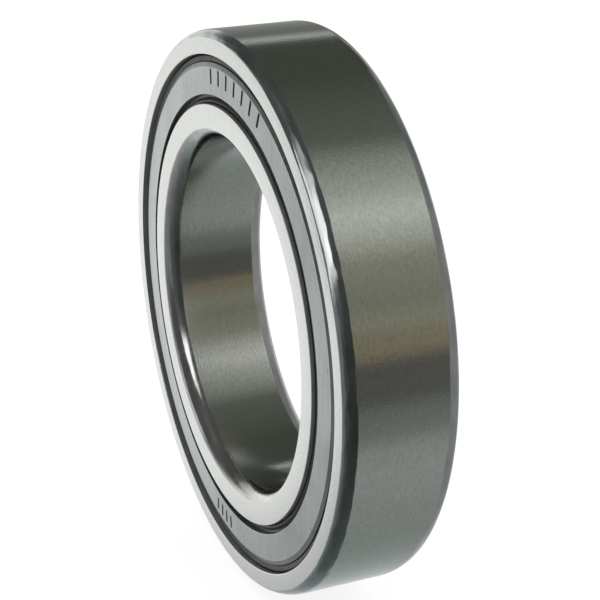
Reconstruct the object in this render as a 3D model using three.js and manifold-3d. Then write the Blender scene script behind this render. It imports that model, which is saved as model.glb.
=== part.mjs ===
// A sealed single-row deep-groove ball bearing, 50 x 80 x 16 mm.
// Millimetres. The bearing's axis is Y, and it stands on its rim: +Z is up, and the origin is the centre of
// the bore at mid-width. The front face is at -Y. Each half of the bearing is the mirror of the other.
import * as THREE from "three";
import { mergeVertices } from "three/addons/utils/BufferGeometryUtils.js";
import Module from "manifold-3d";

const wasm = await Module();
wasm.setup();

// Boundary dimensions
const BORE_R = 25;
const OUTSIDE_R = 40;
const FACE_Y = 8;

// Rolling elements
const BALLS = 14;
const BALL_R = 8.731 / 2;
const PITCH_R = 32.5;
const RUNNING_GAP = 0.02;
const GROOVE_R = 0.53 * 2 * BALL_R;

// Rings
const INNER_SHOULDER_R = 29.9;
const OUTER_SHOULDER_R = 35.4;
const BORE_CORNER = { radial: 1.65, axial: 2.2 };
const RIM_CORNER = { radial: 1.0, axial: 1.65 };

// The recess in the outer ring that each seal snaps into; depths are measured from the ring's face
const RECESS_R = 36.72;
const SNAP_GROOVE_R = 37.2;
const RECESS = { wall: 0.9, grooveTop: 1.25, grooveFoot: 1.85, seat: 2.3, foot: 2.6 };

// Seals
const SEAL_GAP = 0.05;
const PLATE_INNER_R = 31.15;
const PLATE_RIM_R = 35.42;
const PLATE_THICKNESS = 0.45;
const PLATE_DEPTH = 0.28;
const PLATE_BEND = 0.2;
const PLATE_RIM_DEPTH = 1.4;
const BEAD_CREST_R = 36.35;
const RUBBER_BACK_DEPTH = 1.55;
const LIP = { crest: 0.6, slope: 0.25, contactFrom: 0.85, contactTo: 1.15 };

// Riveted ribbon cage
const CAGE_INNER_R = 30.9;
const CAGE_OUTER_R = 34.3;
const CAGE_THICKNESS = 0.7;
const CAGE_SPLIT_GAP = 0.01;
const POCKET_R = BALL_R + 0.12;
const RIVET = { shankR: 0.6, holeR: 0.68, headR: 1.15, headHeight: 0.42, headGap: 0.03 };

// Faceting
const RING_SEGMENTS = 4 * BALLS;
const CORNER_STEPS = 2;
const GROOVE_STEPS = 4;
const CAGE_SEGMENTS = 2 * BALLS;
const POCKET_SEGMENTS = 14;
const POCKET_BELT = Math.PI / 6;
const RIVET_SEGMENTS = 6;
const BALL_DETAIL = 2;

const steel = (colour, roughness) =>
  new THREE.MeshStandardMaterial({ color: colour, roughness, metalness: 1 });
const MATERIALS = {
  ring: steel(0xb9bab4, 0.3),
  ball: steel(0xe2e4e6, 0.08),
  cage: steel(0xa9aaa8, 0.35),
  rivet: steel(0x9c9d9c, 0.4),
  plate: steel(0xa2a6a7, 0.38),
  rubber: new THREE.MeshStandardMaterial({ color: 0x161716, roughness: 0.55, metalness: 0 }),
};

const bearing = new THREE.Group();

function addPart(name, geometry, material) {
  const mesh = new THREE.Mesh(geometry, material);
  mesh.name = name;
  bearing.add(mesh);
  return mesh;
}

// ---- Turned shapes ------------------------------------------------------------------------------

// A faceted ring's flats lie inside its corners. A surface that faces the axis is drawn this much larger, so
// that its flats, not its corners, are at the stated radius and a mating round part always clears them.
const holeRadius = (radius) => radius / Math.cos(Math.PI / RING_SEGMENTS);

const lathe = (profile, segments) =>
  new THREE.LatheGeometry(profile.map(([radius, y]) => new THREE.Vector2(radius, y)), segments);

// A ring about Y. Its profile is a list of [radius, y], in either direction; the last point joins the first.
function turned(profile, segments = RING_SEGMENTS) {
  const outline = profile.map(([radius, y]) => new THREE.Vector2(radius, y));
  const points = THREE.ShapeUtils.isClockWise(outline) ? [...profile].reverse() : profile;
  return lathe([...points, points[0]], segments);
}

// Points of a rounded corner between a face and a round surface, starting at the face.
function cornerPoints(faceR, roundR, y, { axial }) {
  const points = [];
  for (let step = 0; step <= CORNER_STEPS; step++) {
    const angle = (step / CORNER_STEPS) * (Math.PI / 2);
    points.push([
      faceR + (roundR - faceR) * Math.sin(angle),
      y - Math.sign(y) * axial * (1 - Math.cos(angle)),
    ]);
  }
  return points;
}

// Points of a ball groove, from -y to +y. Its flats are tangent to the true groove, so it never meets a ball.
function groovePoints(centreR, towards, shoulderR, place = (radius) => radius) {
  const halfAngle = Math.acos(Math.abs(shoulderR - centreR) / GROOVE_R);
  const step = (2 * halfAngle) / GROOVE_STEPS;
  const cornerR = GROOVE_R / Math.cos(step / 2);
  const points = [];
  for (let index = 0; index <= GROOVE_STEPS; index++) {
    const angle = -halfAngle + index * step;
    points.push([
      place(centreR + towards * cornerR * Math.cos(angle)),
      cornerR * Math.sin(angle),
    ]);
  }
  return points;
}

const mirrored = (points) => points.map(([radius, y]) => [radius, -y]).reverse();

function innerRing() {
  const grooveCentreR = PITCH_R - BALL_R - RUNNING_GAP + GROOVE_R;
  const boreR = holeRadius(BORE_R);
  const frontHalf = [
    ...cornerPoints(BORE_R + BORE_CORNER.radial, boreR, -FACE_Y, BORE_CORNER).reverse(),
    [INNER_SHOULDER_R, -FACE_Y],
  ];
  const groove = groovePoints(grooveCentreR, -1, INNER_SHOULDER_R);
  return turned([...frontHalf, ...groove, ...mirrored(frontHalf)]);
}

function outerRing() {
  const grooveCentreR = PITCH_R + BALL_R + RUNNING_GAP - GROOVE_R;
  const rim = cornerPoints(OUTSIDE_R - RIM_CORNER.radial, OUTSIDE_R, -FACE_Y, RIM_CORNER);
  const recess = [
    [holeRadius(RECESS_R), -FACE_Y],
    [holeRadius(RECESS_R), -FACE_Y + RECESS.wall],
    [holeRadius(SNAP_GROOVE_R), -FACE_Y + RECESS.grooveTop],
    [holeRadius(SNAP_GROOVE_R), -FACE_Y + RECESS.grooveFoot],
    [holeRadius(RECESS_R), -FACE_Y + RECESS.seat],
    [holeRadius(OUTER_SHOULDER_R), -FACE_Y + RECESS.foot],
  ];
  const frontHalf = [...rim.reverse(), ...recess];
  const groove = groovePoints(grooveCentreR, 1, OUTER_SHOULDER_R, holeRadius);
  return turned([...frontHalf, ...groove, ...mirrored(frontHalf)]);
}

// ---- Seals --------------------------------------------------------------------------------------

// Turns [radius, depth below the face] into [radius, y] for the front seal.
const atDepth = (points) => points.map(([radius, depth]) => [radius, -FACE_Y + depth]);

// The pressed sheet-steel washer: flat, with its rim bent inwards.
const PLATE_BACK_DEPTH = PLATE_DEPTH + PLATE_THICKNESS;
const PLATE_BEND_R = PLATE_RIM_R - PLATE_THICKNESS;
const PLATE_FLAT_R = PLATE_BEND_R - PLATE_BEND;
const platePoints = atDepth([
  [PLATE_INNER_R, PLATE_DEPTH],
  [PLATE_FLAT_R, PLATE_DEPTH],
  [PLATE_RIM_R, PLATE_BACK_DEPTH],
  [PLATE_RIM_R, PLATE_RIM_DEPTH],
  [PLATE_BEND_R, PLATE_RIM_DEPTH],
  [PLATE_BEND_R, PLATE_BACK_DEPTH + PLATE_BEND],
  [PLATE_FLAT_R, PLATE_BACK_DEPTH],
  [PLATE_INNER_R, PLATE_BACK_DEPTH],
]);

// The rubber moulded behind and around the washer: a bead that snaps into the outer ring, a layer behind the
// washer, and a lip that runs on the inner ring's shoulder.
const lipR = holeRadius(INNER_SHOULDER_R + SEAL_GAP);
const rubberPoints = atDepth([
  [lipR, LIP.contactFrom],
  [lipR + LIP.slope, LIP.crest],
  [PLATE_INNER_R - LIP.slope, LIP.contactFrom],
  [PLATE_INNER_R, PLATE_BACK_DEPTH + SEAL_GAP],
  [PLATE_FLAT_R - SEAL_GAP, PLATE_BACK_DEPTH + SEAL_GAP],
  [PLATE_BEND_R - SEAL_GAP, PLATE_RIM_DEPTH + SEAL_GAP],
  [PLATE_RIM_R + SEAL_GAP, PLATE_RIM_DEPTH + SEAL_GAP],
  [PLATE_RIM_R + SEAL_GAP, PLATE_BACK_DEPTH],
  [BEAD_CREST_R, LIP.crest],
  [RECESS_R - SEAL_GAP, RECESS.wall],
  [SNAP_GROOVE_R - SEAL_GAP, RECESS.grooveTop + SEAL_GAP],
  [SNAP_GROOVE_R - SEAL_GAP, RECESS.grooveFoot - SEAL_GAP],
  [RECESS_R - SEAL_GAP, RECESS.seat - SEAL_GAP],
  [PLATE_FLAT_R, RUBBER_BACK_DEPTH],
  [lipR, LIP.contactTo],
]);

// ---- Booleans -----------------------------------------------------------------------------------

function toSolid(geometry) {
  const bare = new THREE.BufferGeometry();
  bare.setAttribute("position", geometry.getAttribute("position"));
  bare.setIndex(geometry.index);
  const merged = mergeVertices(bare, 1e-4);
  const mesh = new wasm.Mesh({
    numProp: 3,
    vertProperties: new Float32Array(merged.getAttribute("position").array),
    triVerts: new Uint32Array(merged.index.array),
  });
  return new wasm.Manifold(mesh);
}

function toGeometry(solid) {
  const mesh = solid.getMesh();
  const geometry = new THREE.BufferGeometry();
  geometry.setAttribute("position", new THREE.BufferAttribute(mesh.vertProperties, 3));
  geometry.setIndex(new THREE.BufferAttribute(mesh.triVerts, 1));
  geometry.computeVertexNormals();
  return geometry;
}

// ---- Cage ---------------------------------------------------------------------------------------

// Angle of a ball's centre from the +Z direction, turning towards +X; rivets are half a step further on.
const ballAngle = (index) => (index * 2 * Math.PI) / BALLS;
const rivetAngle = (index) => ballAngle(index + 0.5);

function onPitchCircle(angle) {
  return new THREE.Vector3(PITCH_R * Math.sin(angle), 0, PITCH_R * Math.cos(angle));
}

// A ring with a rectangular section.
function band(innerR, outerR, lowY, highY) {
  const section = [
    [innerR, lowY],
    [outerR, lowY],
    [outerR, highY],
    [innerR, highY],
  ];
  return turned(section, CAGE_SEGMENTS);
}

// A faceted ball round ball number index, with its flats tangent to the sphere of the given radius. It is
// turned about the bearing's radius, and only its two middle belts reach across the cage.
function pocketBall(radius, index) {
  const cornerR = radius / (Math.cos(POCKET_BELT / 2) * Math.cos(Math.PI / POCKET_SEGMENTS));
  const beltR = cornerR * Math.cos(POCKET_BELT);
  const beltHeight = cornerR * Math.sin(POCKET_BELT);
  const profile = [
    [0, -beltHeight],
    [beltR, -beltHeight],
    [cornerR, 0],
    [beltR, beltHeight],
    [0, beltHeight],
  ];
  const ball = lathe(profile, POCKET_SEGMENTS);
  ball.rotateX(Math.PI / 2);
  ball.rotateY(ballAngle(index));
  const centre = onPitchCircle(ballAngle(index));
  return ball.translate(centre.x, centre.y, centre.z);
}

function rivetHole(index) {
  const centre = onPitchCircle(rivetAngle(index));
  const length = 4 * CAGE_THICKNESS;
  const hole = new THREE.CylinderGeometry(RIVET.holeR, RIVET.holeR, length, RIVET_SEGMENTS);
  return hole.translate(centre.x, centre.y, centre.z);
}

// One pressed half of the cage: a flat ribbon with a cup round each ball, on the side of the given sign of y.
function cageHalf(side) {
  const span = (from, to) => [Math.min(side * from, side * to), Math.max(side * from, side * to)];
  const cupR = POCKET_R + CAGE_THICKNESS;
  const envelope = band(CAGE_INNER_R, CAGE_OUTER_R, ...span(CAGE_SPLIT_GAP, cupR + 1));
  let half = toSolid(band(CAGE_INNER_R - 1, CAGE_OUTER_R + 1, ...span(0, CAGE_THICKNESS)));
  for (let index = 0; index < BALLS; index++) half = half.add(toSolid(pocketBall(cupR, index)));
  half = half.intersect(toSolid(envelope));
  for (let index = 0; index < BALLS; index++) {
    half = half.subtract(toSolid(pocketBall(POCKET_R, index)));
    half = half.subtract(toSolid(rivetHole(index)));
  }
  return toGeometry(half);
}

// A rivet that clamps the two halves: a shank through both, with a domed head on each side.
function rivet() {
  const headY = CAGE_THICKNESS + RIVET.headGap;
  const topHalf = [
    [RIVET.shankR, headY],
    [RIVET.headR, headY],
    [0, headY + RIVET.headHeight],
  ];
  return lathe([...mirrored(topHalf), ...topHalf], RIVET_SEGMENTS);
}

// ---- Assembly -----------------------------------------------------------------------------------

const numbered = (name, index) => `${name}_${String(index + 1).padStart(2, "0")}`;

addPart("outer_ring", outerRing(), MATERIALS.ring);
addPart("inner_ring", innerRing(), MATERIALS.ring);

for (let index = 0; index < BALLS; index++) {
  const ball = new THREE.IcosahedronGeometry(BALL_R, BALL_DETAIL);
  addPart(numbered("ball", index), ball, MATERIALS.ball).position.copy(onPitchCircle(ballAngle(index)));
}

addPart("cage_front", cageHalf(-1), MATERIALS.cage);
addPart("cage_rear", cageHalf(1), MATERIALS.cage);
for (let index = 0; index < BALLS; index++) {
  const mesh = addPart(numbered("cage_rivet", index), rivet(), MATERIALS.rivet);
  mesh.position.copy(onPitchCircle(rivetAngle(index)));
}

addPart("seal_front_plate", turned(platePoints), MATERIALS.plate);
addPart("seal_front_rubber", turned(rubberPoints), MATERIALS.rubber);
addPart("seal_rear_plate", turned(mirrored(platePoints)), MATERIALS.plate);
addPart("seal_rear_rubber", turned(mirrored(rubberPoints)), MATERIALS.rubber);

export default bearing;
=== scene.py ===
import math

import bmesh
import bpy
import numpy as np
from mathutils import Matrix, Vector


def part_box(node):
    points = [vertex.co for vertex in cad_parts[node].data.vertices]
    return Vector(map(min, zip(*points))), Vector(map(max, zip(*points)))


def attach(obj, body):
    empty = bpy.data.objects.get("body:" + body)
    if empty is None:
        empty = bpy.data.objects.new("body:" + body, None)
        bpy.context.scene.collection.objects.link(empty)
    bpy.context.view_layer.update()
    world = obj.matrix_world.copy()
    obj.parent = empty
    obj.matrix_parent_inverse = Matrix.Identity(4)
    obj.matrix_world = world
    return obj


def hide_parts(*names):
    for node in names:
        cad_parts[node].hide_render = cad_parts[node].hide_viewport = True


# The looks of a sealed deep-groove ball bearing. The scene is in metres. The bearing's axis is Y, its front
# face is at -Y, and it stands on its rim with +Z up. Sizes and outlines here are in millimetres, and outlines
# give a distance from the axis and a height along it, or a depth below the front face. Angles round the axis
# are in degrees, from +X towards +Z.

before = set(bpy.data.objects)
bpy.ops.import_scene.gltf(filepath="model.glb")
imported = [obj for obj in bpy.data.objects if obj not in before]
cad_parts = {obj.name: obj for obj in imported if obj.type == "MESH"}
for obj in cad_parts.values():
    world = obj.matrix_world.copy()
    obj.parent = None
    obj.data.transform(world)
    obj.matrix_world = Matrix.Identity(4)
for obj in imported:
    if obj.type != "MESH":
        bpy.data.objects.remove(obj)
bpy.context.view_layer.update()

MM = 0.001

# ---- Sizes --------------------------------------------------------------------------------------


def radius_range(node):
    """Smallest and largest distance of a CAD node's corners from the bearing's axis, in millimetres."""
    corners = np.array([v.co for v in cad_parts[node].data.vertices])
    distance = np.hypot(corners[:, 0], corners[:, 2]) / MM
    return distance.min(), distance.max()


def centre_of(node):
    low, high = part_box(node)
    return (low + high) / 2


# The CAD rings have flats: outside, their corners lie on the true circle, and inside, their flats touch it.
CAD_SEGMENTS = 56
HOLE_FLAT = math.cos(math.pi / CAD_SEGMENTS)

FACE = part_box("outer_ring")[1].y / MM
OUTSIDE_R = radius_range("outer_ring")[1]
BORE_R = radius_range("inner_ring")[0] * HOLE_FLAT
INNER_SHOULDER_R = radius_range("inner_ring")[1]
OUTER_SHOULDER_R = radius_range("outer_ring")[0] * HOLE_FLAT
PLATE_R, PLATE_RIM_R = radius_range("seal_front_plate")
PITCH_R = centre_of("ball_01").z / MM

# Ring corners: where each one meets the face, and its reach along the axis. The one on the rim is off
# centre, and widest near the bottom.
RIM_FACE_R = 39.0
RIM_CORNER = 1.83
RIM_OFF_CENTRE = 0.38
RIM_WIDEST_AT = -95
BORE_FACE_R = 26.65
BORE_CORNER = 2.2

# The outer ring's recess for the seal, with the snap groove in its side, and the inner ring's groove beside
# the seal's lip. Starts and ends are depths below the face.
RECESS_R = 36.72
RECESS_DEPTH = 2.3
SNAP_R = 37.2
SNAP_START = 1.25
SNAP_END = 1.85
SNAP_SLOPE = 0.35
LIP_GROOVE = 0.4
LIP_GROOVE_START = 0.52
LIP_GROOVE_END = 1.75

# The seal's washer: a shallow cone from its hole to PLATE_FLAT_R, then a rolled rim and a flange that turns
# back into the rubber. SEAL_GAP is the clearance between the rubber and steel.
PLATE_FLAT_R = 34.8
PLATE_DEPTH = 0.24
PLATE_CONE = 0.12
PLATE_THICKNESS = 0.45
PLATE_EDGE = PLATE_DEPTH + PLATE_CONE
ROLLED_RIM_R = PLATE_RIM_R + 0.2
FLANGE_END = 1.4
SEAL_GAP = 0.05

# Balls, and the raceways they run in, which are a little more open than the balls
BALL_R = 8.731 / 2
RUNNING_GAP = 0.02
GROOVE_R = 0.53 * 2 * BALL_R

# The cage of two pressed halves, and its rivets
CAGE_INNER_R = 30.9
CAGE_OUTER_R = 34.3
CAGE_THICKNESS = 0.7
POCKET_R = BALL_R + 0.12
RIVET_SHANK_R = 0.6
RIVET_HEAD_R = 1.15
RIVET_HEAD = 0.45

# ---- Mesh building ------------------------------------------------------------------------------

FILLET_STEPS = 4
EVEN_ANGLES = np.arange(0, 360, 1.5)
# Distances from the axis that differ by less than this are the same
TOLERANCE = 0.001


def rounded_outline(corners):
    """A closed outline as (point, finish) pairs. Corners are (r, y, rounding, finish that follows)."""
    points = []
    for index, (r, y, rounding, finish) in enumerate(corners):
        corner = np.array((r, y))
        if not rounding:
            points.append((corner, finish))
            continue
        before = np.array(corners[index - 1][:2]) - corner
        after = np.array(corners[(index + 1) % len(corners)][:2]) - corner
        before /= np.linalg.norm(before)
        after /= np.linalg.norm(after)
        half = math.acos(np.clip(before @ after, -1, 1)) / 2
        middle = (before + after) / np.linalg.norm(before + after)
        centre = corner + middle * rounding / math.sin(half)
        start = corner + before * rounding / math.tan(half) - centre
        end = corner + after * rounding / math.tan(half) - centre
        sweep = math.pi - 2 * half
        for step in range(FILLET_STEPS + 1):
            share = step / FILLET_STEPS
            arm = math.sin((1 - share) * sweep) * start + math.sin(share * sweep) * end
            points.append((centre + arm / math.sin(sweep), finish))
    return points


def at_depth(corners):
    """Turns depths below the front face into heights along the axis."""
    return [(r, depth - FACE, *rest) for r, depth, *rest in corners]


def ending(corners, finish):
    """The same corners, with another finish for the stretch after the last one."""
    return [*corners[:-1], (*corners[-1][:3], finish)]


def mirrored(corners, closing):
    """The same corners on the rear side, in the order that goes on round the outline. closing is the finish
    of the stretch after the last one."""
    finishes = [closing] + [corner[3] for corner in corners]
    pairs = list(zip(corners, finishes))
    return [(r, -y, rounding, finish) for (r, y, rounding, _), finish in reversed(pairs)]


def ground_corner(face_r, round_r, depth, finish, steepest=80, flattest=12, quickness=1, steps=12):
    """A rounded corner from the face to the round surface. Both its ends have been ground away, so it meets
    the face and the round surface at slight angles. It turns from steepest to flattest, in degrees from the
    axis, and a quickness above 1 puts more of the turn near the face."""
    left = np.linspace(1, 0, 2 * steps + 1)[1::2]
    leans = np.radians(flattest + (steepest - flattest) * left**quickness)
    out = np.concatenate(([0], np.cumsum(np.sin(leans))))
    down = np.concatenate(([0], np.cumsum(np.cos(leans))))
    radii = face_r + (round_r - face_r) * out / out[-1]
    depths = depth * down / down[-1]
    return [(r, y, 0, finish) for r, y in zip(radii, depths)]


def groove(centre_r, side, shoulder_r, finish, steps=20):
    """A ball groove's corners, from front to rear. side is 1 where the groove curves away from the axis."""
    half = math.acos((shoulder_r - centre_r) * side / GROOVE_R)
    return [
        (centre_r + side * GROOVE_R * math.cos(angle), GROOVE_R * math.sin(angle), 0, finish)
        for angle in np.linspace(-half, half, steps + 1)
    ]


def new_piece(name, vertices, faces, slots, face_slots, centre=(0, 0, 0)):
    """A smooth-shaded mesh object. Vertices are in millimetres from the centre, which is in metres. slots are
    its materials, and face_slots has one slot's number for each face."""
    mesh = bpy.data.meshes.new(name)
    mesh.from_pydata((np.asarray(vertices) * MM).tolist(), [], faces)
    for material in slots:
        mesh.materials.append(material)
    mesh.polygons.foreach_set("material_index", face_slots)
    mesh.polygons.foreach_set("use_smooth", [True] * len(faces))
    mesh.update()
    piece = bpy.data.objects.new(name, mesh)
    piece.location = centre
    bpy.context.scene.collection.objects.link(piece)
    return piece


def even_shading(piece):
    """Lets each large face keep its own normal, so that roundings catch the light and flats stay flat."""
    shading = piece.modifiers.new("Even shading", "WEIGHTED_NORMAL")
    shading.weight = 80
    return piece


def turned(name, corners, finishes, angles=EVEN_ANGLES, shift=None, centre=(0, 0, 0)):
    """A solid of revolution about Y. Its closed outline runs anticlockwise, with the axis on the left and +Y
    up. finishes maps finish names to materials, and shift(angle, r, y) may give each angle's heights."""
    outline = rounded_outline(corners)
    radii = np.array([point[0] for point, _ in outline])
    heights = np.array([point[1] for point, _ in outline])
    count, turns = len(outline), len(angles)
    vertices = []
    for angle in angles:
        moved = shift(angle, radii, heights) if shift else heights
        turn = math.radians(angle)
        vertices.extend(np.column_stack((radii * math.cos(turn), moved, radii * math.sin(turn))))
    names = list(finishes)
    faces = []
    face_slots = []
    for row in range(turns):
        for column in range(count):
            here, there = row * count, (row + 1) % turns * count
            following = (column + 1) % count
            faces.append((here + column, here + following, there + following, there + column))
            face_slots.append(names.index(outline[column][1]))
    return even_shading(new_piece(name, vertices, faces, list(finishes.values()), face_slots, centre))


# ---- Materials ----------------------------------------------------------------------------------


def add(tree, kind, inputs=None, **settings):
    """Adds a node. A value in inputs is linked if it is a socket, and set if it isn't."""
    made = tree.nodes.new(kind)
    for name, value in settings.items():
        setattr(made, name, value)
    for name, value in (inputs or {}).items():
        if isinstance(value, bpy.types.NodeSocket):
            tree.links.new(value, made.inputs[name])
        else:
            made.inputs[name].default_value = value
    return made


def calculate(tree, operation, *values):
    made = tree.nodes.new("ShaderNodeMath")
    made.operation = operation
    for index, value in enumerate(values):
        if isinstance(value, bpy.types.NodeSocket):
            tree.links.new(value, made.inputs[index])
        else:
            made.inputs[index].default_value = value
    return made.outputs[0]


def spread(tree, value, low, high):
    """Maps a noise value, which runs from about 0.3 to 0.7, onto low to high."""
    mapped = add(
        tree,
        "ShaderNodeMapRange",
        {"Value": value, "From Min": 0.3, "From Max": 0.7, "To Min": low, "To Max": high},
    )
    return mapped.outputs[0]


def new_material(name):
    material = bpy.data.materials.new(name)
    material.use_nodes = True
    material.node_tree.nodes.clear()
    return material


def turned_noise(tree, around, across, detail=2.0):
    """Noise that follows the lathe: stretched round the axis and fine across it. around is in features per
    radian and across in features per metre. No seam shows where the circle closes."""
    place = add(tree, "ShaderNodeTexCoord").outputs["Object"]
    parts = add(tree, "ShaderNodeSeparateXYZ", {"Vector": place}).outputs
    squares = [calculate(tree, "MULTIPLY", parts[axis], parts[axis]) for axis in ("X", "Z")]
    radius = calculate(tree, "SQRT", calculate(tree, "ADD", *squares))
    round_scale = calculate(tree, "DIVIDE", around, radius)
    stretched = add(
        tree,
        "ShaderNodeCombineXYZ",
        {
            "X": calculate(tree, "MULTIPLY", parts["X"], round_scale),
            "Y": calculate(tree, "MULTIPLY", parts["Y"], across),
            "Z": calculate(tree, "MULTIPLY", parts["Z"], round_scale),
        },
    )
    noise = add(
        tree,
        "ShaderNodeTexNoise",
        {
            "Vector": stretched.outputs[0],
            "W": calculate(tree, "MULTIPLY", radius, across),
            "Scale": 1.0,
            "Detail": detail,
        },
        noise_dimensions="4D",
    )
    return noise.outputs[0]


def plain_noise(tree, scale, detail=3.0):
    place = add(tree, "ShaderNodeTexCoord").outputs["Object"]
    inputs = {"Vector": place, "Scale": scale, "Detail": detail}
    return add(tree, "ShaderNodeTexNoise", inputs).outputs[0]


def tinted(tree, colour, *factors):
    """A colour multiplied by grey factors."""
    result = add(tree, "ShaderNodeRGB").outputs[0]
    result.default_value = (*colour, 1)
    for factor in factors:
        grey = add(tree, "ShaderNodeCombineColor", {"Red": factor, "Green": factor, "Blue": factor})
        mixed = add(tree, "ShaderNodeMix", data_type="RGBA", blend_type="MULTIPLY")
        mixed.inputs["Factor"].default_value = 1.0
        tree.links.new(result, mixed.inputs["A"])
        tree.links.new(grey.outputs[0], mixed.inputs["B"])
        result = mixed.outputs["Result"]
    return result


def bumped(tree, *layers):
    """A normal from (height, distance in metres, strength) layers, each on top of the one before."""
    normal = None
    for height, distance, strength in layers:
        inputs = {"Height": height, "Distance": distance, "Strength": strength}
        if normal:
            inputs["Normal"] = normal
        normal = add(tree, "ShaderNodeBump", inputs).outputs[0]
    return normal


def shade(tree, inputs):
    surface = add(tree, "ShaderNodeBsdfPrincipled", inputs)
    add(tree, "ShaderNodeOutputMaterial", {"Surface": surface.outputs[0]})


def round_the_axis(tree):
    """The direction that the grinding lines run in."""
    return add(tree, "ShaderNodeTangent", direction_type="RADIAL", axis="Y").outputs[0]


def ground_steel(name, colour, roughness, anisotropy, grain, mottling, streak=40, fine=3400):
    """Steel ground while it turned. Short streaks round the axis and a fine mottling blur what it mirrors,
    most of all across the streaks."""
    material = new_material(name)
    tree = material.node_tree
    streaks = turned_noise(tree, streak, fine)
    mottle = turned_noise(tree, 2.5 * streak, 0.75 * fine)
    tones = [spread(tree, noise, 1 - grain, 1 + grain) for noise in (streaks, mottle)]
    shade(
        tree,
        {
            "Base Color": tinted(tree, colour, *tones),
            "Metallic": 1.0,
            "Roughness": spread(tree, streaks, roughness * 1.1, roughness * 0.9),
            "Anisotropic": anisotropy,
            "Anisotropic Rotation": 0.25,
            "Tangent": round_the_axis(tree),
            "Normal": bumped(tree, (mottle, mottling, 1.0), (streaks, mottling, 1.0)),
        },
    )
    return material


def turned_steel(name, colour, roughness, waves=0.3, metallic=1.0):
    """Steel left as it was turned and tumbled: darker, glossy, with uneven waves."""
    material = new_material(name)
    tree = material.node_tree
    waviness = turned_noise(tree, 9, 800, detail=1.5)
    lines = turned_noise(tree, 6, 9000)
    shade(
        tree,
        {
            "Base Color": tinted(tree, colour, spread(tree, waviness, 0.85, 1.1)),
            "Metallic": metallic,
            "Roughness": spread(tree, plain_noise(tree, 900), roughness * 0.8, roughness * 1.25),
            "Normal": bumped(tree, (waviness, 0.0001, waves), (lines, 0.000004, 0.25)),
        },
    )
    return material


def sheet_steel(name, colour, roughness):
    """Satin sheet steel: faint rolling streaks, a cloudy tarnish and a few small specks."""
    material = new_material(name)
    tree = material.node_tree
    clouds = plain_noise(tree, 160)
    grain = plain_noise(tree, 2600, detail=2.0)
    place = add(tree, "ShaderNodeTexCoord").outputs["Object"]
    rolled = add(tree, "ShaderNodeMapping", {"Vector": place, "Scale": (1.0, 1.0, 0.06)}).outputs[0]
    rolling = add(tree, "ShaderNodeTexNoise", {"Vector": rolled, "Scale": 1300, "Detail": 3.0}).outputs[0]
    specks = add(
        tree,
        "ShaderNodeMapRange",
        {"Value": plain_noise(tree, 700), "From Min": 0.68, "From Max": 0.72, "To Min": 1.0, "To Max": 0.72},
    ).outputs[0]
    tones = [
        spread(tree, clouds, 0.84, 1.08),
        spread(tree, rolling, 0.94, 1.05),
        spread(tree, grain, 0.97, 1.03),
        specks,
    ]
    shade(
        tree,
        {
            "Base Color": tinted(tree, colour, *tones),
            "Metallic": 1.0,
            "Roughness": spread(tree, clouds, roughness * 0.85, roughness * 1.15),
            "Normal": bumped(tree, (clouds, 0.00004, 1.0), (grain, 0.000006, 0.4)),
        },
    )
    return material


def moulded_rubber(name, grey, roughness):
    material = new_material(name)
    tree = material.node_tree
    grain = plain_noise(tree, 5200, detail=2.0)
    blotches = plain_noise(tree, 420)
    shade(
        tree,
        {
            "Base Color": tinted(tree, (grey * 0.95, grey, grey * 0.95), spread(tree, blotches, 0.88, 1.12)),
            "Roughness": spread(tree, blotches, roughness * 0.85, roughness * 1.15),
            "IOR": 1.5,
            "Normal": bumped(tree, (grain, 0.000005, 0.3)),
        },
    )
    return material


def lapped_steel(name):
    """Mirror-lapped ball steel with hairline scratches."""
    material = new_material(name)
    tree = material.node_tree
    scratches = plain_noise(tree, 3500, detail=5.0)
    shade(
        tree,
        {
            "Base Color": tinted(tree, (0.66, 0.67, 0.68), spread(tree, scratches, 0.97, 1.02)),
            "Metallic": 1.0,
            "Roughness": spread(tree, scratches, 0.05, 0.09),
            "Normal": bumped(tree, (scratches, 0.000001, 0.2)),
        },
    )
    return material


MATERIALS = {
    "round": ground_steel("ground_round_steel", (0.60, 0.605, 0.59), 0.14, 0.9, 0.055, 0.000010),
    "face": ground_steel("ground_face_steel", (0.76, 0.765, 0.745), 0.2, 0.5, 0.025, 0.000012, streak=60),
    "rim corner": turned_steel("turned_rim_corner", (0.58, 0.60, 0.60), 0.12, waves=1.6),
    "bore corner": turned_steel("turned_bore_corner", (0.70, 0.70, 0.69), 0.14, waves=0.4),
    "recess": turned_steel("turned_recess_steel", (0.28, 0.29, 0.28), 0.4, waves=0.1, metallic=0.7),
    "raceway": ground_steel("honed_raceway_steel", (0.66, 0.66, 0.64), 0.1, 0.5, 0.01, 0.000003),
    "plate": sheet_steel("satin_sheet_steel", (0.47, 0.492, 0.483), 0.25),
    # The marks' dark steel is painted shade in the pressed grooves.
    "mark": sheet_steel("pressed_mark_painted_shade", (0.09, 0.095, 0.095), 0.45),
    "rolled rim": sheet_steel("rolled_rim_steel", (0.32, 0.33, 0.325), 0.35),
    "rubber": moulded_rubber("moulded_nitrile_rubber", 0.034, 0.4),
    # A lighter rubber for the crests of the lip and the bead: a painted highlight.
    "crest highlight rubber": moulded_rubber("nitrile_rubber_painted_highlight", 0.045, 0.5),
    "ball": lapped_steel("lapped_ball_steel"),
    "cage": sheet_steel("pressed_cage_steel", (0.52, 0.52, 0.5), 0.3),
    "rivet": turned_steel("rivet_steel", (0.42, 0.42, 0.41), 0.3),
}


def materials(*names):
    """Those finishes of a piece, with their materials."""
    return {name: MATERIALS[name] for name in names}


# ---- Rings --------------------------------------------------------------------------------------


def off_centre_rim(angle, radii, heights):
    """The rim was ground a little off centre to its turned corners, so their width changes round it."""
    width = RIM_CORNER + RIM_OFF_CENTRE * math.cos(math.radians(angle - RIM_WIDEST_AT))
    depth = (FACE - np.abs(heights)) * np.where(radii > RIM_FACE_R - TOLERANCE, width / RIM_CORNER, 1)
    return np.sign(heights) * (FACE - depth)


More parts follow.
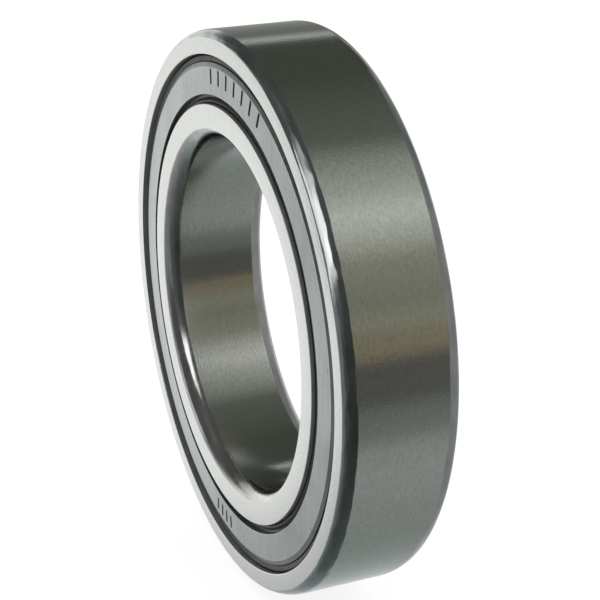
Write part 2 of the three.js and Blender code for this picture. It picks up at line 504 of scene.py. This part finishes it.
def outer_ring():
    front = at_depth(
        [
            (OUTER_SHOULDER_R, RECESS_DEPTH + 0.3, 0.15, "recess"),
            (RECESS_R, RECESS_DEPTH, 0.1, "recess"),
            (SNAP_R, SNAP_END, 0.1, "recess"),
            (SNAP_R, SNAP_START, 0.1, "recess"),
            (RECESS_R, SNAP_START - SNAP_SLOPE, 0.1, "recess"),
            (RECESS_R, 0, 0.14, "face"),
            *ground_corner(RIM_FACE_R, OUTSIDE_R, RIM_CORNER, "rim corner"),
        ]
    )
    front = ending(front, "round")
    race = groove(PITCH_R + BALL_R + RUNNING_GAP - GROOVE_R, 1, OUTER_SHOULDER_R, "raceway")
    corners = [*front, *mirrored(front, "recess"), *ending(race[::-1], "recess")]
    finishes = materials("round", "face", "rim corner", "recess", "raceway")
    return turned("outer_ring_steel", corners, finishes, shift=off_centre_rim)


def inner_ring():
    corner = ground_corner(BORE_FACE_R, BORE_R, BORE_CORNER, "bore corner", steepest=64, quickness=1.5)
    front = at_depth(
        [
            *ending(corner[::-1], "face"),
            (INNER_SHOULDER_R, 0, 0.1, "recess"),
            (INNER_SHOULDER_R, LIP_GROOVE_START, 0.04, "recess"),
            (INNER_SHOULDER_R - LIP_GROOVE, LIP_GROOVE_START + 0.14, 0.05, "recess"),
            (INNER_SHOULDER_R - LIP_GROOVE, LIP_GROOVE_END - 0.15, 0.1, "recess"),
            (INNER_SHOULDER_R, LIP_GROOVE_END, 0.1, "recess"),
        ]
    )
    race = groove(PITCH_R - BALL_R - RUNNING_GAP + GROOVE_R, -1, INNER_SHOULDER_R, "raceway")
    corners = [*front, *ending(race, "recess"), *mirrored(front, "round")]
    finishes = materials("round", "face", "bore corner", "recess", "raceway")
    return turned("inner_ring_steel", corners, finishes)


# ---- Seals --------------------------------------------------------------------------------------

# Plain radial bars pressed into the front washer: (middle angle, number of bars, degrees between bars,
# distances from the axis at which a bar starts and ends). MARK_ANGLE is the step of the mesh there, in
# degrees. Where the bars are deeper than PAINTED_SHADE_FROM they are painted dark, as painted shade in the
# grooves.
MARK_ROWS = [(84, 7, 4.9, 32.85, 34.75), (265, 4, 3.0, 32.6, 34.2)]
MARK_WIDTH = 0.56
MARK_DEPTH = 0.09
MARK_ANGLE = 0.12
PAINTED_SHADE_FROM = 0.03
PLATE_ROWS = 34


def mark_angles():
    for middle, count, step, inner, outer in MARK_ROWS:
        for index in range(count):
            yield middle + (index - (count - 1) / 2) * step, inner, outer


def press_depth(angle, radii):
    """How deep the marks are pressed at an angle, for each distance from the axis."""
    depth = np.zeros(len(radii))
    for middle, inner, outer in mark_angles():
        aside = math.radians(angle - middle) * radii
        beyond = np.maximum(np.maximum(inner - radii, radii - outer), 0)
        inside = 1 - np.hypot(aside, beyond) / (MARK_WIDTH / 2)
        depth = np.maximum(depth, MARK_DEPTH * np.clip(inside * 2, 0, 1))
    return depth


def cone_depth(radius):
    """Depth of the washer's bare surface below the face."""
    return PLATE_DEPTH + PLATE_CONE * (radius - PLATE_R) / (PLATE_FLAT_R - PLATE_R)


def plate_outline(side):
    """The washer's section. Its cone has many rows, which the marks are pressed into."""
    rows = np.linspace(PLATE_R, PLATE_FLAT_R, PLATE_ROWS + 1)[1:-1]
    front = at_depth(
        [
            (PLATE_R, PLATE_DEPTH, 0.1, "plate"),
            *((radius, cone_depth(radius), 0, "plate") for radius in rows),
            (PLATE_FLAT_R + 0.2, PLATE_EDGE, 0.08, "rolled rim"),
            (ROLLED_RIM_R, PLATE_EDGE + 0.22, 0.05, "rubber"),
            (ROLLED_RIM_R, PLATE_EDGE + 0.39, 0.02, "rubber"),
            (PLATE_RIM_R, PLATE_EDGE + 0.42, 0.02, "rubber"),
            (PLATE_RIM_R, FLANGE_END, 0.1, "rubber"),
            (PLATE_RIM_R - PLATE_THICKNESS, FLANGE_END, 0.1, "plate"),
            (PLATE_RIM_R - PLATE_THICKNESS, FLANGE_END - 0.4, 0.12, "plate"),
            (PLATE_FLAT_R - 0.2, PLATE_EDGE + PLATE_THICKNESS, 0.2, "plate"),
            (PLATE_R, PLATE_DEPTH + PLATE_THICKNESS, 0.08, "plate"),
        ]
    )
    return front if side < 0 else mirrored(front, "plate")


def front_plate():
    """The washer with its marks, which are pressed in by moving the cone's rows. Their deeper faces take a
    dark steel, which is painted shade inside the marks.
    """
    angles = set(EVEN_ANGLES.tolist())
    for middle, count, step, _, _ in MARK_ROWS:
        reach = count * step / 2
        angles.update(np.arange(middle - reach, middle + reach, MARK_ANGLE).round(3).tolist())

    def pressed(angle, radii, heights):
        is_front = (heights + FACE < PLATE_DEPTH + PLATE_THICKNESS / 2) & (radii < PLATE_FLAT_R)
        return heights + np.where(is_front, press_depth(angle, radii), 0)

    finishes = materials("plate", "rubber", "mark", "rolled rim")
    piece = turned("seal_front_washer", plate_outline(-1), finishes, sorted(angles), shift=pressed)
    for face in piece.data.polygons:
        x, y, z = face.center / MM
        radius = math.hypot(x, z)
        pressed_by = y + FACE - cone_depth(radius)
        # Faces pressed deeper than PAINTED_SHADE_FROM take the dark mark steel, as painted shade in the
        # grooves.
        if radius < PLATE_FLAT_R and PAINTED_SHADE_FROM < pressed_by < PLATE_THICKNESS / 2:
            face.material_index = list(finishes).index("mark")
    return piece


def rear_plate():
    return turned("seal_rear_washer", plate_outline(1), materials("plate", "rubber", "rolled rim"))


def rubber(name, side):
    """The moulding: a lip at the inner ring, a layer behind the washer and its flange, and a snap bead. The
    lip's and the bead's crests are a lighter rubber, which is a painted highlight.
    """
    lip_r = INNER_SHOULDER_R + SEAL_GAP
    bead_depth = FLANGE_END + SEAL_GAP
    front = at_depth(
        [
            (lip_r, 0.85, 0.05, "rubber"),
            # The lip's crest is the lighter rubber: painted highlight.
            (lip_r + 0.07, 0.62, 0.08, "crest highlight rubber"),
            (lip_r + 0.35, 0.58, 0.08, "rubber"),
            (PLATE_R - 0.45, 1.16, 0.12, "rubber"),
            (PLATE_R - 0.06, 1.12, 0.05, "rubber"),
            (PLATE_R, 0.76, 0.03, "rubber"),
            (PLATE_RIM_R - PLATE_THICKNESS - 0.1, 0.95, 0.1, "rubber"),
            (PLATE_RIM_R - PLATE_THICKNESS - SEAL_GAP, bead_depth, 0.05, "rubber"),
            (PLATE_RIM_R + SEAL_GAP, bead_depth, 0.05, "rubber"),
            (PLATE_RIM_R + SEAL_GAP, 0.95, 0.05, "rubber"),
            # The bead's crest is the lighter rubber: painted highlight.
            (PLATE_RIM_R + 0.35, 0.68, 0.12, "crest highlight rubber"),
            (RECESS_R - 0.35, 0.62, 0.15, "rubber"),
            (RECESS_R - SEAL_GAP, SNAP_START - SNAP_SLOPE + SEAL_GAP, 0.1, "rubber"),
            (SNAP_R - SEAL_GAP, SNAP_START + SEAL_GAP, 0.1, "rubber"),
            (SNAP_R - SEAL_GAP, SNAP_END - SEAL_GAP, 0.1, "rubber"),
            (RECESS_R - SEAL_GAP, RECESS_DEPTH - 0.06, 0.1, "rubber"),
            (PLATE_RIM_R - 0.6, 1.7, 0.3, "rubber"),
            (lip_r, 1.4, 0.1, "rubber"),
        ]
    )
    corners = front if side < 0 else mirrored(front, "rubber")
    return turned(name, corners, materials("rubber", "crest highlight rubber"))


# ---- Balls and cage -----------------------------------------------------------------------------

# Half the gap between the cage's halves, the softness of the bend from ribbon to dome, how far beyond the
# dome the flat ribbon starts, and the rounding of the cut edges
CAGE_SEAM = 0.01
CAGE_BEND = 0.2
RIBBON_START = 0.25
CAGE_EDGE = 0.08
# The mesh: rows across the ribbon, and steps from a dome's middle to its edge and on to the ribbon's middle
CAGE_ROWS = 9
DOME_STEPS = 12
RIBBON_STEPS = 5


def ball(node):
    shape = bmesh.new()
    bmesh.ops.create_icosphere(shape, subdivisions=5, radius=BALL_R)
    vertices = [tuple(v.co) for v in shape.verts]
    faces = [tuple(v.index for v in face.verts) for face in shape.faces]
    shape.free()
    finish = [MATERIALS["ball"]]
    return new_piece(f"{node}_lapped", vertices, faces, finish, [0] * len(faces), centre_of(node))


def smooth_most(first, second, softness):
    """The larger of two numbers, with a smooth change from one to the other."""
    return (first + second + math.hypot(first - second, softness)) / 2


def cage_half(name, side, ball_nodes):
    """A pressed ribbon that runs flat between the balls and domes over each of them."""
    middle_r = POCKET_R + CAGE_THICKNESS / 2
    flat = CAGE_THICKNESS / 2 + CAGE_SEAM
    pitch = 2 * math.pi / len(ball_nodes)
    dome = [middle_r * math.sin(angle) for angle in np.linspace(0, math.radians(85), DOME_STEPS)]
    ribbon = np.linspace(dome[-1] + RIBBON_START, PITCH_R * pitch / 2, RIBBON_STEPS).tolist()
    half = [along / PITCH_R for along in dome + ribbon]
    steps = [-angle for angle in reversed(half[1:-1])] + half
    rows = CAGE_ROWS
    vertices = []
    for node in ball_nodes:
        centre = centre_of(node) / MM
        ball_angle = math.atan2(centre.z, centre.x)
        for step in steps:
            for row in range(rows):
                radius = CAGE_INNER_R + (CAGE_OUTER_R - CAGE_INNER_R) * row / (rows - 1)
                x = radius * math.cos(ball_angle - step)
                z = radius * math.sin(ball_angle - step)
                aside = math.hypot(x - centre.x, z - centre.z)
                over = math.sqrt(max(middle_r**2 - aside**2, 0))
                vertices.append((x, side * smooth_most(over, flat, CAGE_BEND), z))
    turns = len(vertices) // rows
    faces = []
    for turn in range(turns):
        for row in range(rows - 1):
            here, there = turn * rows + row, (turn + 1) % turns * rows + row
            face = (here, here + 1, there + 1, there)
            faces.append(face if side > 0 else face[::-1])
    piece = new_piece(name, vertices, faces, [MATERIALS["cage"]], [0] * len(faces))
    sheet = piece.modifiers.new("Sheet thickness", "SOLIDIFY")
    sheet.thickness = CAGE_THICKNESS * MM
    sheet.offset = 0
    edges = piece.modifiers.new("Tumbled edges", "BEVEL")
    edges.width = CAGE_EDGE * MM
    edges.segments = 2
    edges.limit_method = "ANGLE"
    edges.angle_limit = math.radians(50)
    return even_shading(piece)


def rivet(node):
    head = CAGE_THICKNESS + 2 * CAGE_SEAM
    top = [
        (RIVET_HEAD_R, head, 0.08, "rivet"),
        (RIVET_HEAD_R * 0.86, head + RIVET_HEAD * 0.7, 0.25, "rivet"),
        (0.02, head + RIVET_HEAD, 0, "rivet"),
    ]
    bottom = [(r, -y, rounding, finish) for r, y, rounding, finish in reversed(top)]
    waist = [(RIVET_SHANK_R, -head, 0.05, "rivet"), (RIVET_SHANK_R, head, 0.05, "rivet")]
    corners = [*bottom, *waist, *top]
    return turned(f"{node}_upset", corners, materials("rivet"), np.arange(0, 360, 12), centre=centre_of(node))


# ---- Assembly -----------------------------------------------------------------------------------


def stand_in(piece, node, body):
    """Puts a piece in a CAD node's place."""
    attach(piece, body)
    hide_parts(node)


ball_nodes = sorted(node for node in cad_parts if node.startswith("ball_"))
rivet_nodes = sorted(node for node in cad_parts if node.startswith("cage_rivet_"))

stand_in(outer_ring(), "outer_ring", "outer_ring")
stand_in(inner_ring(), "inner_ring", "inner_ring")
stand_in(front_plate(), "seal_front_plate", "outer_ring")
stand_in(rear_plate(), "seal_rear_plate", "outer_ring")
stand_in(rubber("seal_front_moulding", -1), "seal_front_rubber", "outer_ring")
stand_in(rubber("seal_rear_moulding", 1), "seal_rear_rubber", "outer_ring")
for node in ball_nodes:
    stand_in(ball(node), node, node)
for name, side, node in (("cage_front_ribbon", -1, "cage_front"), ("cage_rear_ribbon", 1, "cage_rear")):
    stand_in(cage_half(name, side, ball_nodes), node, "cage")
for node in rivet_nodes:
    stand_in(rivet(node), node, "cage")

# ---- Studio -------------------------------------------------------------------------------------

# The camera stands in this direction from the bearing's centre, then a little to its right and up, without
# turning. The azimuth runs from the front towards +X. Angles are in degrees, distances in metres, and the
# lens in millimetres.
VIEW_AZIMUTH = 66.58
VIEW_ELEVATION = 22.14
VIEW_DISTANCE = 0.23684
VIEW_ASIDE = 0.00309
VIEW_RAISE = 0.00105
LENS = 99.55

# Half the floor's width, in metres
FLOOR_REACH = 1.5


def studio_camera():
    azimuth, elevation = math.radians(VIEW_AZIMUTH), math.radians(VIEW_ELEVATION)
    back = Vector(
        (
            math.sin(azimuth) * math.cos(elevation),
            -math.cos(azimuth) * math.cos(elevation),
            math.sin(elevation),
        )
    )
    right = Vector((math.cos(azimuth), math.sin(azimuth), 0))
    raised = back.cross(right)
    camera = bpy.data.objects.new("studio_camera", bpy.data.cameras.new("studio_camera"))
    bpy.context.scene.collection.objects.link(camera)
    camera.data.sensor_width = 36
    camera.data.lens = LENS
    camera.data.clip_start = 0.01
    camera.location = back * VIEW_DISTANCE + right * VIEW_ASIDE + raised * VIEW_RAISE
    camera.rotation_mode = "QUATERNION"
    camera.rotation_quaternion = Matrix((right, raised, back)).transposed().to_quaternion()
    bpy.context.scene.camera = camera


def stage_card(name, corners, material):
    """A flat card of the studio's own. Corners are in metres."""
    mesh = bpy.data.meshes.new(name)
    mesh.from_pydata(corners, [], [range(len(corners))])
    mesh.materials.append(material)
    piece = bpy.data.objects.new(name, mesh)
    bpy.context.scene.collection.objects.link(piece)
    return piece


def floor():
    """A pale floor that glows a little, so that it stays near white, and that the steel doesn't mirror."""
    material = new_material("floor_paper")
    tree = material.node_tree
    glow = tinted(tree, (1, 1, 1), spread(tree, plain_noise(tree, 40), 0.99, 1.0))
    shade(
        tree,
        {
            "Base Color": (0.18, 0.18, 0.18, 1),
            "Roughness": 0.9,
            "Emission Color": glow,
            "Emission Strength": 0.86,
        },
    )
    sides = ((-1, -1), (1, -1), (1, 1), (-1, 1))
    corners = [(x * FLOOR_REACH, y * FLOOR_REACH, -OUTSIDE_R * MM) for x, y in sides]
    stage_card("floor", corners, material).visible_glossy = False


# What the steel mirrors: panels and dark gaps between them, as (angle round the axis, colour) stops, in
# several zones from the rear to the front
REAR_POLE = [(-180, (0.28, 0.28, 0.27)), (180, (0.28, 0.28, 0.27))]
REAR_STEEP = [
    (-180, (0.60, 0.61, 0.60)), (-140, (0.48, 0.50, 0.49)), (-115, (0.31, 0.32, 0.31)),
    (-95, (0.27, 0.28, 0.27)), (-60, (0.27, 0.28, 0.27)), (60, (0.25, 0.26, 0.25)),
    (110, (0.16, 0.17, 0.16)), (150, (0.22, 0.23, 0.22)), (180, (0.60, 0.61, 0.60)),
]
REAR = [
    (-180, (0.27, 0.29, 0.26)), (-165, (0.42, 0.44, 0.42)), (-148, (0.63, 0.65, 0.64)),
    (-140, (0.68, 0.71, 0.70)), (-128, (0.52, 0.56, 0.55)), (-113, (0.38, 0.42, 0.41)),
    (-99, (0.31, 0.345, 0.325)), (-88, (0.285, 0.315, 0.295)), (-72, (0.31, 0.335, 0.315)),
    (-52, (0.355, 0.38, 0.365)), (-41, (0.325, 0.355, 0.325)), (-33, (0.215, 0.23, 0.21)),
    (-23, (0.17, 0.185, 0.17)), (-19, (0.11, 0.115, 0.105)), (-5, (0.108, 0.103, 0.092)),
    (0, (0.25, 0.215, 0.145)), (7, (0.255, 0.235, 0.155)), (11, (0.285, 0.29, 0.22)),
    (20, (0.235, 0.24, 0.18)), (35, (0.295, 0.305, 0.235)), (46, (0.56, 0.58, 0.51)),
    (54, (0.69, 0.71, 0.66)), (64, (0.48, 0.50, 0.44)), (77, (0.29, 0.31, 0.26)),
    (86, (0.125, 0.135, 0.11)), (122, (0.062, 0.070, 0.052)), (151.5, (0.060, 0.068, 0.054)),
    (154, (0.60, 0.61, 0.58)), (157, (0.46, 0.47, 0.45)), (160, (0.13, 0.138, 0.125)),
    (176, (0.22, 0.24, 0.215)),
]
SIDE = [
    (-180, (0.98, 0.99, 0.98)), (-166, (0.96, 0.97, 0.96)), (-158, (1.06, 1.08, 1.07)),
    (-150, (0.96, 0.98, 0.97)), (-147, (0.60, 0.62, 0.61)), (-141, (0.56, 0.58, 0.57)),
    (-135, (0.53, 0.55, 0.54)), (-117, (0.25, 0.29, 0.29)), (-98, (0.10, 0.13, 0.125)),
    (-75, (0.070, 0.080, 0.078)), (-28, (0.035, 0.038, 0.037)), (0, (0.045, 0.048, 0.042)),
    (24, (0.048, 0.054, 0.050)), (50, (0.08, 0.088, 0.083)), (76, (0.072, 0.080, 0.074)),
    (146, (0.062, 0.067, 0.062)), (157, (0.10, 0.105, 0.10)), (164, (0.46, 0.47, 0.46)),
    (172, (0.80, 0.81, 0.80)),
]
FRONT = [
    (-180, (0.78, 0.79, 0.78)), (-166, (0.72, 0.73, 0.71)), (-158, (0.88, 0.90, 0.88)),
    (-151, (0.85, 0.87, 0.86)), (-147, (0.48, 0.49, 0.475)), (-143, (0.45, 0.46, 0.45)),
    (-135, (0.40, 0.41, 0.40)), (-115, (0.23, 0.24, 0.24)), (-85, (0.10, 0.112, 0.11)),
    (-30, (0.042, 0.046, 0.046)), (10, (0.042, 0.046, 0.045)), (30, (0.08, 0.09, 0.09)),
    (38, (1.5, 1.52, 1.5)), (62, (1.5, 1.52, 1.5)), (78, (0.70, 0.72, 0.71)), (95, (0.15, 0.165, 0.15)),
    (125, (0.075, 0.08, 0.075)), (156, (0.050, 0.054, 0.050)), (166, (0.08, 0.085, 0.08)),
    (172, (0.22, 0.23, 0.22)), (178, (0.62, 0.63, 0.62)),
]
FRONT_STEEP = [
    (-180, (0.62, 0.63, 0.62)), (-168, (0.52, 0.53, 0.52)), (-147, (0.48, 0.49, 0.48)),
    (-130, (0.36, 0.37, 0.36)), (-110, (0.26, 0.26, 0.26)), (-85, (0.16, 0.165, 0.165)),
    (-50, (0.085, 0.09, 0.09)), (0, (0.075, 0.08, 0.08)), (28, (0.11, 0.12, 0.12)), (38, (1.5, 1.52, 1.5)),
    (66, (1.5, 1.52, 1.5)), (84, (0.50, 0.54, 0.53)), (96, (0.18, 0.20, 0.19)), (116, (0.10, 0.11, 0.105)),
    (150, (0.080, 0.086, 0.082)), (163, (0.17, 0.175, 0.17)), (171, (0.30, 0.31, 0.30)),
    (178, (0.58, 0.59, 0.58)),
]
FRONT_POLE = [
    (-180, (0.30, 0.31, 0.30)), (-150, (0.27, 0.28, 0.27)), (-120, (0.22, 0.23, 0.23)),
    (-95, (0.21, 0.22, 0.22)), (-20, (0.18, 0.19, 0.19)), (22, (0.19, 0.20, 0.20)), (44, (1.2, 1.22, 1.2)),
    (110, (1.2, 1.22, 1.2)), (158, (0.80, 0.82, 0.81)), (174, (0.38, 0.39, 0.38)),
]

# Each zone's bands take over from those before between two directions, given as their part along the axis
ZONES = [
    (REAR_STEEP, 0.99, 0.90), (REAR, 0.68, 0.50), (SIDE, 0.33, 0.20), (FRONT, -0.28, -0.42),
    (FRONT_STEEP, -0.46, -0.60), (FRONT_POLE, -0.74, -0.87),
]


# The flag's distance in front of the bearing's middle, and its outline there as (x, z), in millimetres
FLAG_DISTANCE = 50
FLAG_OUTLINE = [(-43, -9), (-28, -13), (4, -9), (14, 13), (10, 34), (9, 95), (-20, 110), (-34, 36), (-43, 28)]


def flag():
    """A dark card in front of the bearing, which only shows in what the steel mirrors. It hides the softbox
    from the lower left of the bore corner."""
    material = new_material("flag_cloth")
    tree = material.node_tree
    cloth = tinted(tree, (0.08, 0.08, 0.08), spread(tree, plain_noise(tree, 30), 0.9, 1.1))
    shade(tree, {"Base Color": cloth, "Roughness": 1.0})
    corners = [(x * MM, -FLAG_DISTANCE * MM, z * MM) for x, z in FLAG_OUTLINE]
    card = stage_card("flag", corners, material)
    card.visible_camera = False
    card.visible_diffuse = False
    card.visible_shadow = False


def band_ramp(tree, turn, bands):
    """Colours blended between the stops, by the share of a turn from -180 degrees."""
    ramp = add(tree, "ShaderNodeValToRGB", {"Fac": turn})
    stops = ramp.color_ramp.elements
    stops[0].position = 0
    stops[1].position = (bands[-1][0] + 180) / 360
    for at, _ in bands[1:-1]:
        stops.new((at + 180) / 360)
    for stop, (_, colour) in zip(stops, bands):
        stop.color = (*colour, 1)
    return ramp.outputs[0]


def studio_world():
    """White to the camera and even light for matt surfaces; banded for whatever mirrors it."""
    world = bpy.data.worlds.new("studio")
    bpy.context.scene.world = world
    world.use_nodes = True
    tree = world.node_tree
    tree.nodes.clear()
    direction = add(tree, "ShaderNodeTexCoord").outputs["Generated"]
    parts = add(tree, "ShaderNodeSeparateXYZ", {"Vector": direction}).outputs
    angle = calculate(tree, "ARCTAN2", parts["Z"], parts["X"])
    turn = calculate(tree, "ADD", calculate(tree, "DIVIDE", angle, 2 * math.pi), 0.5)
    colour = band_ramp(tree, turn, REAR_POLE)
    for bands, starts, ends in ZONES:
        share = add(
            tree,
            "ShaderNodeMapRange",
            {"Value": parts["Y"], "From Min": starts, "From Max": ends, "To Min": 0.0, "To Max": 1.0},
            interpolation_type="SMOOTHSTEP",
        ).outputs[0]
        mixed = add(tree, "ShaderNodeMix", data_type="RGBA")
        tree.links.new(share, mixed.inputs["Factor"])
        tree.links.new(colour, mixed.inputs["A"])
        tree.links.new(band_ramp(tree, turn, bands), mixed.inputs["B"])
        colour = mixed.outputs["Result"]
    mirrored_room = add(tree, "ShaderNodeBackground", {"Color": colour, "Strength": 1.0})
    room = add(tree, "ShaderNodeBackground", {"Color": (1, 1, 1, 1), "Strength": 1.12})
    rays = add(tree, "ShaderNodeLightPath").outputs
    choice = {0: rays["Is Glossy Ray"], 1: room.outputs[0], 2: mirrored_room.outputs[0]}
    mixed = add(tree, "ShaderNodeMixShader", choice)
    add(tree, "ShaderNodeOutputWorld", {"Surface": mixed.outputs[0]})


studio_camera()
floor()
flag()
studio_world()
bpy.context.scene.view_settings.view_transform = "Standard"
